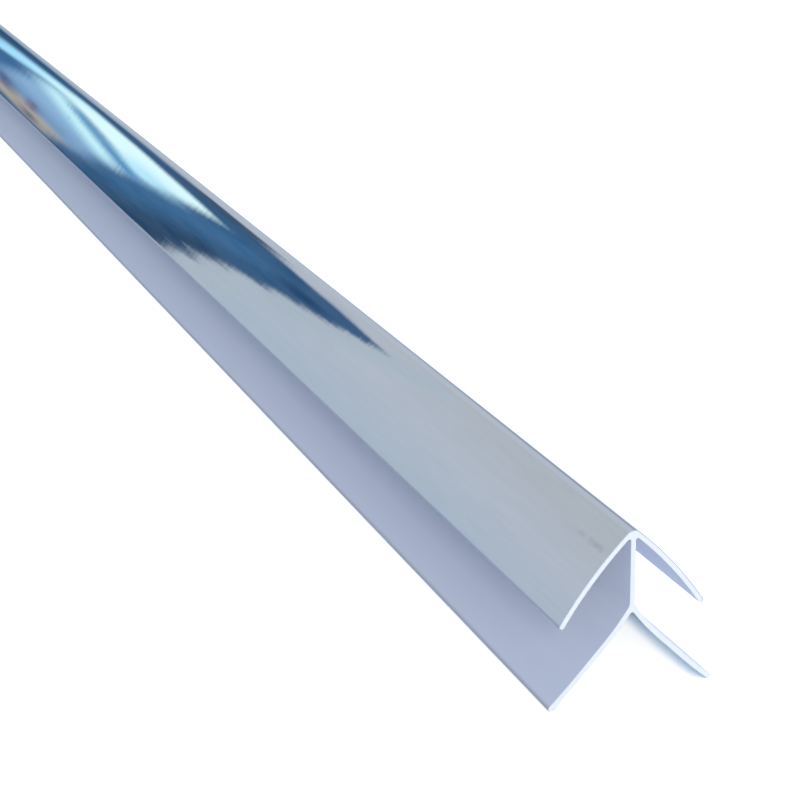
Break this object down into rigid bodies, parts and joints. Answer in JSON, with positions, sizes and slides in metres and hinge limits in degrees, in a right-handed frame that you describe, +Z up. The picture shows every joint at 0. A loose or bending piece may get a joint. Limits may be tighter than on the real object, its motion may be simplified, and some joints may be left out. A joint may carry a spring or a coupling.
{
  "type": "external corner trim",
  "caption": "Wall panel corner trim: white PVC extrusion with a bright film on two bowed cover flanges, a web, and two longer back flanges that form panel channels.",
  "frame": {"origin": "middle of the bar, under the middle of its section, at the level that the back flanges' tips stand on", "axes": "+Y along the bar, +Z up through the web to the outer corner, +X across to the right flanges"},
  "size_m": [0.03, 2.4, 0.0297],
  "materials": {
    "white_pvc": "smooth white extruded PVC, semi-gloss, matt on the sawn ends",
    "bright_film": "bright metallised film, mirror-like with faint waves and scuffs"
  },
  "bodies": {
    "root": {"profile": "white_pvc", "bright_film": "bright_film"}
  },
  "joints": []
}
